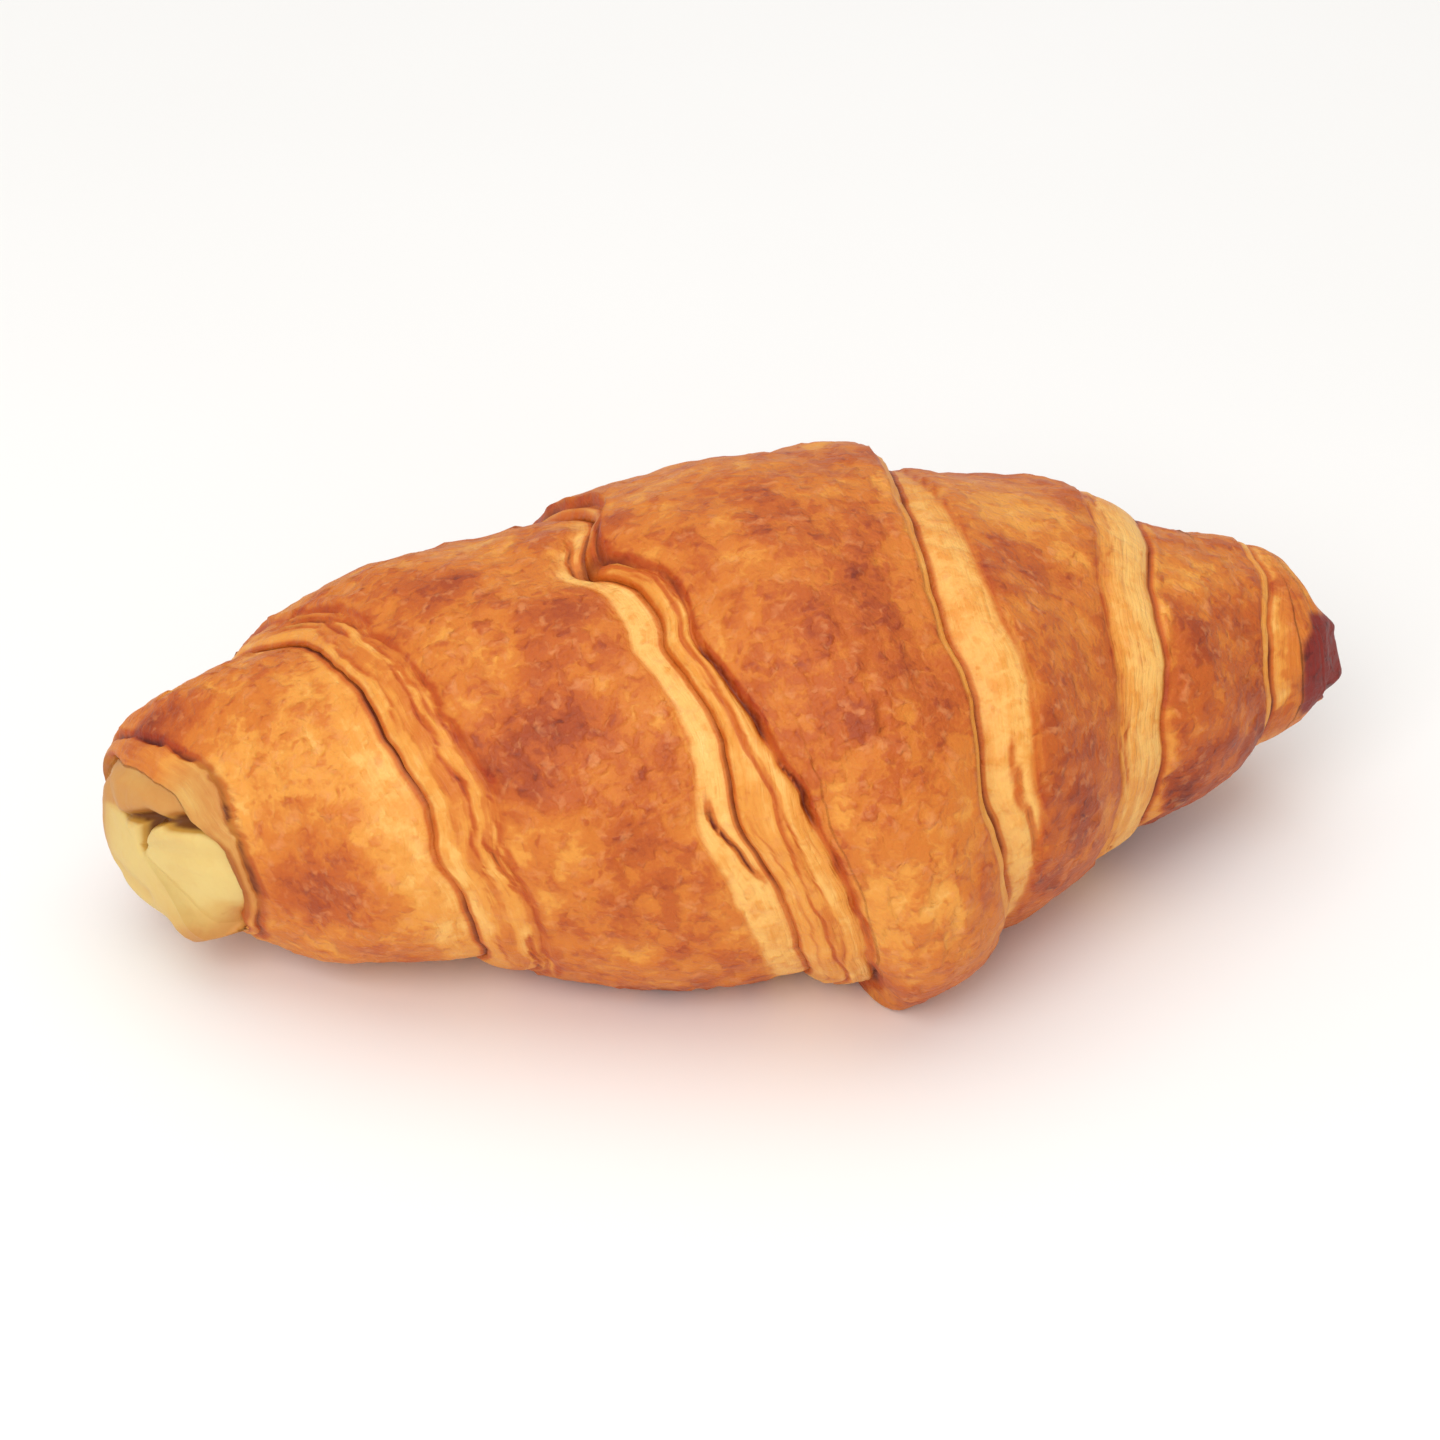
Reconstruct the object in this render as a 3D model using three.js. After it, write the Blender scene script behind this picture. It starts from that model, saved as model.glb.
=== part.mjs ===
// Breakfast croissant: one baked piece of rolled, laminated dough.
// Millimetres, +Z up, resting on z = 0, long side along X, front towards -Y.
import * as THREE from "three";

// Round of the body: station along X, half height there, and how far back its middle lies
const STATION = [-79, -74, -66, -54, -36, -18, -6, 6, 22, 36, 48, 58];
const HALF_HEIGHT = [8.2, 10.3, 14.5, 18.3, 21.9, 24.9, 25.5, 25.5, 21, 17.2, 12.6, 9];
const MIDDLE_BACK = [8.8, 8.8, 6.4, 6.6, 6.2, 4.3, 4.0, 6.8, 12.8, 14, 15.8, 15.5];
const WIDTH_RATIO = 1.27;
const BELLY_RATIO = 1.12;
const MIDDLE_HEIGHT = 0.98;

// How far the two ends curl up off the tray
const LIFT_CENTRE = 2;
const LIFT_LEFT = 7;
const LIFT_RIGHT = 12;
const LIFT_REACH_LEFT = 81;
const LIFT_REACH_RIGHT = 56;
const LIFT_POWER = 1.6;

// Sideways lean of the rings round the body, as shift along X for each millimetre back
const LEAN_STATION = [-85, -50, 0, 60];
const LEAN = [0.65, 0.42, 0.2, 0.2];

// The rolled sheet, by its turn in degrees counted from under the belly, up the front and over.
// Its tip is tucked under the belly; from there its two edges wind out to the two ends.
const TIP_TURN = -20;
const LEFT_TURNS = 3.2;
const RIGHT_TURNS = 4;
const LEFT_TURN = [-20, 20, 54, 80, 101, 135, 160, 182, 206, 419, 447, 470, 550, 772, 800, 880, 1000, 1132];
const LEFT_EDGE = [-6, -9.5, -15.5, -21, -24.4, -25.8, -27, -27.4, -23, -53.6, -56.8, -58.7, -56.6, -75.9,
  -77.2, -77.6, -76.8, -75.9];
const RIGHT_TURN = [-20, 20, 65, 85, 110, 140, 161, 194, 431, 475, 506, 536, 799, 840, 875, 919, 1060, 1240, 1420];
const RIGHT_EDGE = [-6, 2.5, 6.7, 4.7, 3.2, 3.4, 5.6, 10.2, 29.8, 30.2, 33.5, 38, 48.4, 48.8, 52.2, 55.2,
  56.6, 57, 56.6];

// A band of the sheet: its step down to the next, its rise between the seams and its cut edge
const STEP_SHARE = 0.12;
const RISE_SHARE = 0.055;
const FULL_BAND = 17;
const UNDERCUT = 1.7;
const CREVICE = 1.1;
const FOOT = 0.35;

// Width of a band's layered cut edge and of its pale inner margin, by turn
const LEFT_LIP_TURN = [43, 110, 127, 150, 200, 417, 560, 780, 830, 880, 1132];
const LEFT_LIP = [7.8, 8.3, 5, 3, 2.5, 7, 4.8, 2.6, 2.4, 4.2, 4.5];
const RIGHT_LIP_TURN = [0, 200, 430, 520, 600, 780, 1420];
const RIGHT_LIP = [1.5, 1.5, 8, 7.5, 6, 1.6, 1.6];
const LEFT_MARGIN_TURN = [380, 420, 450, 470, 500, 560, 740, 780, 860, 890, 920, 1132];
const LEFT_MARGIN = [4, 5, 6.3, 5.5, 3, 2, 3, 4.4, 5.2, 3, 1.5, 2];
const RIGHT_MARGIN_TURN = [380, 430, 460, 500, 530, 555, 780, 1420];
const RIGHT_MARGIN = [2.5, 2.8, 6.2, 6.9, 6.3, 3.3, 1.6, 1.2];
const TOP_PLY_SHARE = 0.1;
const TOP_PLY_FALL = 0.3;
const RAMP_FALL = 0.15;
const NOSE_POWER = 6;

// The tongue: the narrow start of the outermost turn swells out low on the front
const TONGUE_TURN = 54;
const TONGUE_HALF = 42;
const TONGUE_RISE = 1.4;

// Tears in the bared margins: which side, turn of the middle, half length in degrees, depth
const TEARS = [
  ["left", 468, 26, 1.3],
  ["left", 512, 12, 1.6],
  ["left", 540, 10, 1.2],
  ["left", 836, 30, 0.9],
  ["right", 470, 34, 0.8],
  ["right", 845, 30, 0.7],
];
const TEAR_PLACE = 0.75;
const TEAR_WIDTH = 0.9;

// Open left end: the face of the inner roll, set in the last rim, and its Y-shaped pinch.
// The creases and ridges of an end run from one place to another, right and up from its middle.
const FACE_REACH = [0.8, 2.3, 3.6, 4.3, 4.6];
const FACE_SHARE = [0.93, 0.84, 0.66, 0.42, 0.2];
const FACE_MIDDLE = 4.7;
const FACE_SLOPE = 0.28;
const PINCH_DEPTH = 2.6;
const PINCH_WIDTH = 1.3;
const PINCH_ARMS = [
  [-5.0, 6.0, -0.5, 7.4],
  [-0.5, 7.4, 4.2, 6.2],
  [-0.5, 7.4, -1.8, 2.2],
];

// Closed right end: the roll rounds off and a burnt two-lobed knob sticks out of its front side
const TIP_REACH = [0.9, 1.6, 2.3, 2.8, 3.0];
const TIP_SHARE = [0.94, 0.82, 0.64, 0.42, 0.2];
const TIP_MIDDLE = 3.1;
const KNOB_HEIGHT = 4;
const KNOB_WIDTH = 2.4;
const KNOB_ARMS = [
  [6.4, 1.5, 8.6, -3.2],
  [6.4, -5.6, 4.4, -6.8],
];

// Flat of the belly, and the slow unevenness of the baked crust
const PRESS = 1.2;
const LUMP = 0.38;

// Faceting: rows in one turn, and columns across the parts of a band
const TURN_ROWS = 55;
const BODY_COLUMNS = 8;
const MARGIN_COLUMNS = 3;
const LIP_SHARES = [0.1, 0.6, 1];
const BAND_COLUMNS = BODY_COLUMNS + LIP_SHARES.length + 2;

const radians = (degrees) => (degrees * Math.PI) / 180;
const clamp = (value) => Math.min(1, Math.max(0, value));
const mix = (a, b, share) => a + (b - a) * share;

function ease(value) {
  const share = clamp(value);
  return share * share * (3 - 2 * share);
}

// A smooth curve through the given values that never overshoots them
function curve(places, values) {
  const last = places.length - 1;
  const run = (i) => places[i + 1] - places[i];
  const rate = (i) => (values[i + 1] - values[i]) / run(i);
  const slopes = values.map((_, i) => {
    if (i === 0) return rate(0);
    if (i === last) return rate(last - 1);
    const before = rate(i - 1);
    const after = rate(i);
    if (before * after <= 0) return 0;
    const weight = run(i - 1) + run(i);
    return (before * run(i) + after * run(i - 1)) / weight;
  });
  return (place) => {
    let i = 0;
    while (i < last - 1 && place > places[i + 1]) i += 1;
    const width = run(i);
    const u = Math.min(1, Math.max(0, (place - places[i]) / width));
    const v = 1 - u;
    const start = values[i] * (1 + 2 * u) * v * v + slopes[i] * width * u * v * v;
    const end = values[i + 1] * (3 - 2 * u) * u * u - slopes[i + 1] * width * u * u * v;
    return start + end;
  };
}

const halfHeight = curve(STATION, HALF_HEIGHT);
const middleBack = curve(STATION, MIDDLE_BACK);
const ringLean = curve(LEAN_STATION, LEAN);
const leftEdge = curve(LEFT_TURN, LEFT_EDGE);
const rightEdge = curve(RIGHT_TURN, RIGHT_EDGE);
const lipWidth = {
  left: curve(LEFT_LIP_TURN, LEFT_LIP),
  right: curve(RIGHT_LIP_TURN, RIGHT_LIP),
};
const marginWidth = {
  left: curve(LEFT_MARGIN_TURN, LEFT_MARGIN),
  right: curve(RIGHT_MARGIN_TURN, RIGHT_MARGIN),
};

function endLift(station) {
  const away = station - LIFT_CENTRE;
  const reach = away < 0 ? LIFT_REACH_LEFT : LIFT_REACH_RIGHT;
  const height = away < 0 ? LIFT_LEFT : LIFT_RIGHT;
  return height * Math.pow(Math.abs(away) / reach, LIFT_POWER);
}

// Height before the belly is pressed flat on the tray
function freeHeight(station, turn, raise) {
  const half = halfHeight(station);
  const down = Math.cos(radians(turn));
  const reach = down > 0 ? BELLY_RATIO * half + raise : half + raise;
  return MIDDLE_HEIGHT * half + endLift(station) - reach * down;
}

function pressed(height) {
  if (height >= PRESS) return height;
  if (height <= -PRESS) return 0;
  return (height + PRESS) ** 2 / (4 * PRESS);
}

// Slow unevenness of the crust at a place on the body
function lump(station, turn) {
  const round = radians(turn);
  const first = Math.sin(0.19 * station + 2 * Math.sin(round) + 0.6);
  const second = Math.sin(0.11 * station - 3 * Math.cos(round) + 2.1);
  const third = Math.sin(0.31 * station + 4 * round + 1.3);
  return LUMP * (first * second + 0.5 * third);
}

// A point of the skin: its station, its turn round the body and its raise off the plain round
function skinPoint(station, turn, raise) {
  const back = -(WIDTH_RATIO * halfHeight(station) + raise) * Math.sin(radians(turn));
  return new THREE.Vector3(
    station - ringLean(station) * back,
    middleBack(station) + back,
    pressed(freeHeight(station, turn, raise)),
  );
}

// The edges of the sheet waver a little as they wind, less where the roll is thin
function waver(turn) {
  return 0.45 * Math.sin(radians(5.3 * turn + 40)) + 0.35 * Math.sin(radians(9.1 * turn));
}

function edgeStation(side, turn) {
  const lastTurn = TIP_TURN + 360 * (side === "left" ? LEFT_TURNS : RIGHT_TURNS);
  const station = side === "left" ? leftEdge(turn) : rightEdge(turn);
  const settle = ease((turn - TIP_TURN) / 60) * ease((lastTurn - turn) / 300);
  const thick = halfHeight(station) / HALF_HEIGHT[5];
  return station + waver(turn + (side === "left" ? 0 : 77)) * settle * thick;
}

function tearDepth(side, turn) {
  let depth = 0;
  for (const [tornSide, middle, half, deep] of TEARS) {
    if (tornSide !== side) continue;
    depth = Math.max(depth, deep * ease(1.4 - (1.4 * Math.abs(turn - middle)) / half));
  }
  return depth;
}

function tongueRise(turn) {
  return TONGUE_RISE * ease(1.5 - (1.5 * Math.abs(turn - TONGUE_TURN)) / TONGUE_HALF);
}

// Sizes of one row of a band, which shrink together where the band is narrow
function rowSizes(side, turn, inner, outer, covered) {
  const width = Math.abs(outer - inner);
  const size = Math.min(1, mix(2 * width, width, covered) / FULL_BAND);
  const nose = freeHeight(outer, turn, 0);
  const free = ease((nose - 0.5) / 4);
  return {
    side,
    turn,
    width,
    size,
    lip: Math.min(lipWidth[side](turn) * size, 0.8 * width),
    margin: marginWidth[side](turn) * size,
    foot: FOOT * size,
    under: UNDERCUT * size * free,
    stepIn: STEP_SHARE * halfHeight(inner) * size,
    stepOut: STEP_SHARE * halfHeight(outer) * size,
    rise: RISE_SHARE * halfHeight(mix(inner, outer, 0.5)) * size,
    crevice: CREVICE * size,
    tear: tearDepth(side, turn) * size,
    tongue: tongueRise(turn) * size,
  };
}

// Raise of a band's top between its inner seam and its cut edge
function bandRaise(row, out, covered) {
  const share = clamp(out / (row.width - row.lip));
  const seated = -0.5 * row.stepIn;
  const crest = 0.5 * row.stepOut;
  const climb = mix(seated, crest, ease(0.15 + 0.85 * share));
  const arch = row.rise * 4 * share * (1 - share);
  const fromTear = (out - TEAR_PLACE * row.margin) / TEAR_WIDTH;
  const tear = row.tear * Math.exp(-fromTear * fromTear);
  const whole = crest + row.rise * (1 - share * share) + row.tongue * (1 - share ** 3);
  return mix(whole, climb + arch - tear, covered);
}

// How the cut edge falls from the crust to its nose: the top ply ends in a small step of its own
function plyFall(share) {
  const nose = 1 - TOP_PLY_FALL - RAMP_FALL;
  return TOP_PLY_FALL * ease(share / TOP_PLY_SHARE) + RAMP_FALL * share + nose * share ** NOSE_POWER;
}

// Distance out and raise of one column: seam, bared margin, crust, cut edge, undercut
function column(row, index, covered) {
  const crest = row.width - row.lip;
  const nose = -0.5 * row.stepOut + 0.35 * row.size;
  if (index === 0) {
    const raise = -0.5 * row.stepIn - row.crevice;
    return [-row.under * covered, mix(bandRaise(row, 0, 0), raise, covered)];
  }
  if (index <= 1 + BODY_COLUMNS) {
    const step = index - 1;
    const even = crest * (index / (1 + BODY_COLUMNS));
    const split = step <= MARGIN_COLUMNS
      ? mix(row.foot, row.margin, step / MARGIN_COLUMNS)
      : mix(row.margin, crest, (step - MARGIN_COLUMNS) / (BODY_COLUMNS - MARGIN_COLUMNS));
    const out = mix(even, split, covered);
    return [out, bandRaise(row, out, covered)];
  }
  if (index <= 1 + BODY_COLUMNS + LIP_SHARES.length) {
    const share = LIP_SHARES[index - 2 - BODY_COLUMNS];
    return [crest + row.lip * share, mix(bandRaise(row, crest, covered), nose, plyFall(share))];
  }
  return [row.width - row.under, -0.5 * row.stepOut - row.crevice];
}

class Skin {
  constructor() {
    this.points = [];
    this.faces = [];
  }

  add(point) {
    this.points.push(point);
    return this.points.length - 1;
  }

  triangle(a, b, c) {
    if (a !== b && b !== c && c !== a) this.faces.push(a, b, c);
  }

  // Closes the strip between two rows of the same length; flip turns the faces round
  strip(first, second, flip) {
    for (let i = 0; i + 1 < first.length; i += 1) {
      const [a, b, c, d] = [first[i], first[i + 1], second[i + 1], second[i]];
      if (flip) {
        this.triangle(a, d, c);
        this.triangle(a, c, b);
      } else {
        this.triangle(a, b, c);
        this.triangle(a, c, d);
      }
    }
  }

  geometry() {
    const flat = this.points.flatMap((point) => [point.x, point.y, point.z]);
    const geometry = new THREE.BufferGeometry();
    geometry.setAttribute("position", new THREE.Float32BufferAttribute(flat, 3));
    geometry.setIndex(this.faces);
    geometry.computeVertexNormals();
    return geometry;
  }
}

// The points of one row, from its inner end to its free edge
function bandRow(skin, side, turn, inner, start, covered) {
  const sign = side === "left" ? -1 : 1;
  const outer = edgeStation(side, turn);
  const row = rowSizes(side, turn, inner, outer, covered);
  const line = [start];
  for (let index = 1; index <= BAND_COLUMNS; index += 1) {
    const [out, raise] = column(row, index, covered);
    const station = inner + sign * out;
    line.push(skin.add(skinPoint(station, turn, raise + lump(station, turn))));
  }
  return line;
}

// The middle line of the outermost turn, which ends under the sheet's own tip
function middleStation(turn, covered) {
  const between = 0.5 * (edgeStation("left", turn) + edgeStation("right", turn));
  return mix(between, leftEdge(TIP_TURN), covered);
}

function middlePoint(skin, turn, covered) {
  const station = middleStation(turn, covered);
  const row = rowSizes("left", turn, station, edgeStation("left", turn), covered);
  const [, raise] = column(row, 0, covered);
  return skin.add(skinPoint(station, turn, raise + lump(station, turn)));
}

// Both halves of the sheet share the middle line of the first turn; further in, each arm's rows
// start from the free edge of the turn that lies over them.
function rollSheet(skin) {
  const tip = skin.add(skinPoint(leftEdge(TIP_TURN), TIP_TURN, 0));
  const edges = { left: [tip], right: [tip] };
  let before = { left: null, right: null };
  const rows = { left: LEFT_TURNS * TURN_ROWS, right: RIGHT_TURNS * TURN_ROWS };
  for (let k = 1; k <= rows.right; k += 1) {
    const turn = TIP_TURN + (360 * k) / TURN_ROWS;
    const covered = ease((turn - TIP_TURN - 300) / 60);
    const top = k < TURN_ROWS ? middlePoint(skin, turn, covered) : tip;
    const now = { left: null, right: null };
    for (const side of ["left", "right"]) {
      if (k > rows[side]) continue;
      const over = k > TURN_ROWS;
      const inner = over ? edgeStation(side, turn - 360) : middleStation(turn, covered);
      const start = over ? edges[side][k - TURN_ROWS] : top;
      const line = k === rows[side]
        ? new Array(BAND_COLUMNS + 1).fill(start)
        : bandRow(skin, side, turn, inner, start, covered);
      const previous = before[side] || new Array(BAND_COLUMNS + 1).fill(tip);
      skin.strip(previous, line, side === "left");
      edges[side].push(line[BAND_COLUMNS]);
      now[side] = line;
    }
    before = now;
  }
  return edges;
}

// Height of the nearest of some rounded ridges at a place on an end
function ridge(arms, height, width, right, up) {
  let most = 0;
  for (const [fromRight, fromUp, toRight, toUp] of arms) {
    const along = [toRight - fromRight, toUp - fromUp];
    const away = [right - fromRight, up - fromUp];
    const length = along[0] ** 2 + along[1] ** 2;
    const share = clamp((away[0] * along[0] + away[1] * along[1]) / length);
    const gap = Math.hypot(away[0] - share * along[0], away[1] - share * along[1]);
    most = Math.max(most, height * Math.exp(-((gap / width) ** 2)));
  }
  return most;
}

function faceRelief(right, up) {
  return -FACE_SLOPE * up - ridge(PINCH_ARMS, PINCH_DEPTH, PINCH_WIDTH, right, up);
}

function knobRelief(right, up) {
  return ridge(KNOB_ARMS, KNOB_HEIGHT, KNOB_WIDTH, right, up);
}

function average(points) {
  const sum = new THREE.Vector3();
  points.forEach((point) => sum.add(point));
  return sum.divideScalar(points.length);
}

// Closes an end from its rim inwards with rings of falling size, each pushed out along X
function closeEnd(skin, rim, shape) {
  const middle = average(rim.map((index) => skin.points[index]));
  let before = rim;
  for (let ring = 0; ring < shape.share.length; ring += 1) {
    const share = shape.share[ring];
    const line = rim.map((index) => {
      const from = skin.points[index].clone().sub(middle);
      const right = -from.y * share;
      const up = from.z * share;
      const reach = shape.reach[ring] + shape.relief(right, up);
      return skin.add(new THREE.Vector3(
        middle.x + from.x * share + shape.sign * reach,
        middle.y - right,
        middle.z + up,
      ));
    });
    skin.strip([...before, before[0]], [...line, line[0]], shape.sign > 0);
    before = line;
  }
  const reach = shape.middle + shape.relief(0, 0);
  const centre = skin.add(middle.clone().add(new THREE.Vector3(shape.sign * reach, 0, 0)));
  before.forEach((index, i) => {
    const next = before[(i + 1) % before.length];
    if (shape.sign > 0) skin.triangle(centre, next, index);
    else skin.triangle(centre, index, next);
  });
}

function buildSkin() {
  const skin = new Skin();
  const edges = rollSheet(skin);
  const lastRing = (line) => line.slice(-TURN_ROWS);
  closeEnd(skin, lastRing(edges.left), {
    sign: -1,
    reach: FACE_REACH,
    share: FACE_SHARE,
    middle: FACE_MIDDLE,
    relief: faceRelief,
  });
  closeEnd(skin, lastRing(edges.right), {
    sign: 1,
    reach: TIP_REACH,
    share: TIP_SHARE,
    middle: TIP_MIDDLE,
    relief: knobRelief,
  });
  return skin;
}

// Puts the bottom centre of the whole at the origin
function centre(geometry) {
  geometry.computeBoundingBox();
  const { min, max } = geometry.boundingBox;
  geometry.translate(-0.5 * (min.x + max.x), -0.5 * (min.y + max.y), -min.z);
}

const crust = new THREE.MeshStandardMaterial({ color: 0xcf7f3e, roughness: 0.6, metalness: 0 });
const geometry = buildSkin().geometry();
centre(geometry);
const croissant = new THREE.Mesh(geometry, crust);
croissant.name = "croissant";

const part = new THREE.Group();
part.add(croissant);

export default part;
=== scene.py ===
import math

import bpy
import numpy as np
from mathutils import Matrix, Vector


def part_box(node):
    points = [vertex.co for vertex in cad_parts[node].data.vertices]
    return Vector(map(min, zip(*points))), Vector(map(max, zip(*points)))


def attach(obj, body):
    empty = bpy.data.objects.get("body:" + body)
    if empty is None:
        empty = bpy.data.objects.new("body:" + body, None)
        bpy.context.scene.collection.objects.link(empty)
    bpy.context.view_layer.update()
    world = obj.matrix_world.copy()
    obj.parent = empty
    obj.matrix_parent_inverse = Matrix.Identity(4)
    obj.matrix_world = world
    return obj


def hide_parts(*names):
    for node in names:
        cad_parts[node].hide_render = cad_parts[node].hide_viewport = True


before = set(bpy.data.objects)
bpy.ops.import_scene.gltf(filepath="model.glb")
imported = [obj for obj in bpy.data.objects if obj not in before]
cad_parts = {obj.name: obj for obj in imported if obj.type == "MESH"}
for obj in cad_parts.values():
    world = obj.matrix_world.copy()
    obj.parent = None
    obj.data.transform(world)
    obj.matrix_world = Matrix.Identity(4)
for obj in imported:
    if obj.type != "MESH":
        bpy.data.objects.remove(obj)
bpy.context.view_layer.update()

# A baked croissant: one triangle of laminated dough rolled up, browned crust outside, pale layers
# where the sheet was cut. Sizes here are millimetres unless a name says otherwise.
MM = 0.001

# Round of the body: station along X, half height there, and how far back its middle lies
STATION = [-79, -74, -66, -54, -36, -18, -6, 6, 22, 36, 48, 58]
HALF_HEIGHT = [8.6, 11, 14.2, 18.1, 21.9, 24.9, 25.5, 25.5, 21, 17.2, 12, 8.6]
MIDDLE_BACK = [8.8, 8.8, 6.4, 6.6, 6.2, 4.3, 4.0, 6.8, 12.8, 14, 15.8, 15.5]
WIDTH_RATIO = 1.27
BELLY_RATIO = 1.12
MIDDLE_HEIGHT = 0.98
THICK_HALF = 24.9
MEAN_RATIO = 1.15

# How far the two ends curl up off the tray
LIFT_CENTRE = 2
LIFT = {"left": 7.4, "right": 12.9}
LIFT_REACH = {"left": 81, "right": 56}
LIFT_POWER = 1.6

# Sideways lean of the rings round the body, as shift along X for each millimetre back
LEAN_STATION = [-85, -50, 0, 60]
LEAN = [0.65, 0.42, 0.2, 0.2]

# The rolled sheet, by its turn in degrees counted from under the belly, up the front and over
SIDES = ("left", "right")
OUTWARD = {"left": -1, "right": 1}
TIP_TURN = -20
TURNS = {"left": 3.2, "right": 4}
EDGE_TURN = {
    "left": [-20, 20, 54, 80, 101, 135, 146, 153, 161, 171, 183, 206, 419, 447, 470, 550, 772, 800,
             880, 1000, 1132],
    "right": [-20, 20, 65, 85, 110, 140, 161, 194, 431, 475, 506, 536, 799, 840, 875, 919, 1060, 1240,
              1420],
}
EDGE = {
    "left": [-6, -9.5, -15.5, -21, -24.4, -25.6, -25.8, -26.6, -25.5, -25, -27.4, -23, -53.6, -56.8,
             -58.7, -56.6, -76.1, -77.3, -77.9, -76, -75.6],
    "right": [-6, 2.5, 6.7, 4.7, 3.2, 3.4, 5.6, 10.2, 29.8, 30.2, 33.5, 38, 48.4, 48.8, 52.2, 55.2,
              56.6, 57, 56.6],
}

# Waver of the edges: how far, waves in a turn and their start; it calms down towards tip and ends
WAVER = [(0.45, 5.3, 40), (0.35, 9.1, 0)]
WAVER_START = {"left": 0, "right": 77}
CALM_TIP = 60
CALM_END = 300

# A band of the sheet: its step down to the next, its rise between the seams and its cut edge
STEP_SHARE = 0.12
RISE_SHARE = 0.055
FULL_BAND = 17
UNDERCUT = 1.7
CREVICE = 1.1
FOOT = 0.35

# Width of a band's layered cut edge and of its pale inner margin, by turn
LIP_TURN = {
    "left": [43, 110, 127, 150, 168, 200, 417, 560, 780, 830, 880, 930, 1132],
    "right": [0, 200, 430, 520, 600, 780, 1420],
}
LIP = {
    "left": [7.8, 8.3, 5, 3.2, 2.8, 1.4, 7, 4.8, 1.4, 1.3, 3.2, 2.5, 2.3],
    "right": [1.5, 1.5, 8, 7.5, 6, 1.6, 1.6],
}
MARGIN_TURN = {
    "left": [380, 420, 450, 470, 500, 525, 545, 560, 740, 780, 860, 890, 920, 1132],
    "right": [380, 430, 460, 500, 530, 555, 780, 1100, 1160, 1260, 1420],
}
MARGIN = {
    "left": [4, 5, 6.3, 5.5, 4, 4.9, 3.4, 2, 3, 4.4, 5.2, 3, 1.5, 2],
    "right": [2.5, 2.8, 6.2, 6.9, 6.3, 3.3, 1.6, 1.5, 2.9, 2.9, 1.4],
}
TOP_PLY_SHARE = 0.1
TOP_PLY_FALL = 0.3
RAMP_FALL = 0.15
NOSE_POWER = 6

# The tongue: the narrow start of the outermost turn swells out low on the front
TONGUE_TURN = 54
TONGUE_HALF = 42
TONGUE_RISE = 1.4

# How clearly the crust's own edge stands up beside the bared margin
BORDER_TURN = {"left": [380, 430, 520, 600, 760, 1132], "right": [380, 430, 560, 620, 1420]}
# The border's height also sets a thin painted shade beside it
BORDER = {"left": [0.3, 0.6, 0.7, 0.2, 0.1, 0.1], "right": [0.5, 1, 1, 0.3, 0.2]}
BORDER_STEP = 0.35

# Tears in the bared margins: side, turn and distance out of the seam at each end, and depth; and
# the widths of their outer and inner flanks
# A tear's depth also darkens it with painted shade
TEARS = [
    ("left", 478, 3.5, 448, 1.4, 0.9),
    ("left", 560, 2.4, 535, 1.2, 0.6),
    ("right", 484, 3.9, 432, 4.6, 0.5),
    ("left", 650, 2.8, 610, 1.2, 0.8),
    ("right", 660, 2.6, 605, 1.4, 0.7),
]
TEAR_WIDTH = (0.27, 0.48)

# Hollows bitten out of the dough: station, turn round the body, radius, depth
# A hollow's depth also darkens it with painted shade
HOLLOWS = [(-27.6, 184, 2.1, 1.2)]

# Open left end with its pinched face, and closed right end with its burnt knob.
# Shares run from the middle of an end to its rim, and ridges from one place to another, each given
# as right and up. A fold has its ridge, its width, how brown it is and how far it stands out.
FACE_SHARE = [0, 0.2, 0.42, 0.66, 0.84, 0.93, 1]
FACE_REACH = [4.9, 4.9, 4.7, 4.2, 3.1, 1.7, 0]
FACE_SLOPE = 0.22
PINCH_DEPTH = 2.5
PINCH_WIDTH = 1.0
PINCH_ARMS = [(1.4, 4.4, -3.1, 2.1), (1.4, 4.4, 4.6, 5.8), (4.6, 5.8, 7.2, 5.9), (1.4, 4.4, 0.6, -0.2)]
PINCH_TAPER = 0.6
# Strength and width of the painted shade along the pinch
PINCH_SHADE = (1.7, 0.75)
FACE_TONE = 0.09
FACE_TAN = 0.34
BULGE_RIGHT = [-10, -6.8, -3.1, 1.2, 4.8, 7.6, 10.5]
BULGE_TOP = [-1, 1, 2.2, 4.5, 5.9, 6, 4.6]
FACE_FOLDS = [
    ((-8.8, 1.5, -7.4, -5), 1.5, 0.42, 0),
    ((-4.2, -5.8, 1.2, -6.2), 1.1, 0.16, -0.5),
    ((8.8, -6.8, 10.2, -3), 1, 0.42, 0),
]
FLAP = (7.2, -7, 9.2, -5.6)
FLAP_WIDTH = 2.5
FLAP_DROP = 2.2
FLAP_REACH = 0.8
FLAP_BROWN = 0.46
KNOB_SHARE = [0, 0.2, 0.42, 0.64, 0.82, 0.94, 1]
KNOB_REACH = [3.1, 3.1, 3.0, 2.7, 2.1, 1.3, 0]
KNOB_HEIGHT = 2.2
KNOB_WIDTH = 2.4
KNOB_ARMS = [(5.4, 2.8, 8, -2.4)]
LOWER_KNOB = [(7, -6.2, 5.2, -7.6)]
LOWER_HEIGHT = 2.1
KNOB_BURN_FROM = (-2.2, -2, 2.4)
KNOB_BURN_SIZE = (6.3, 6.4, 6.6)
END_BROWN = 0.5

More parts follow.
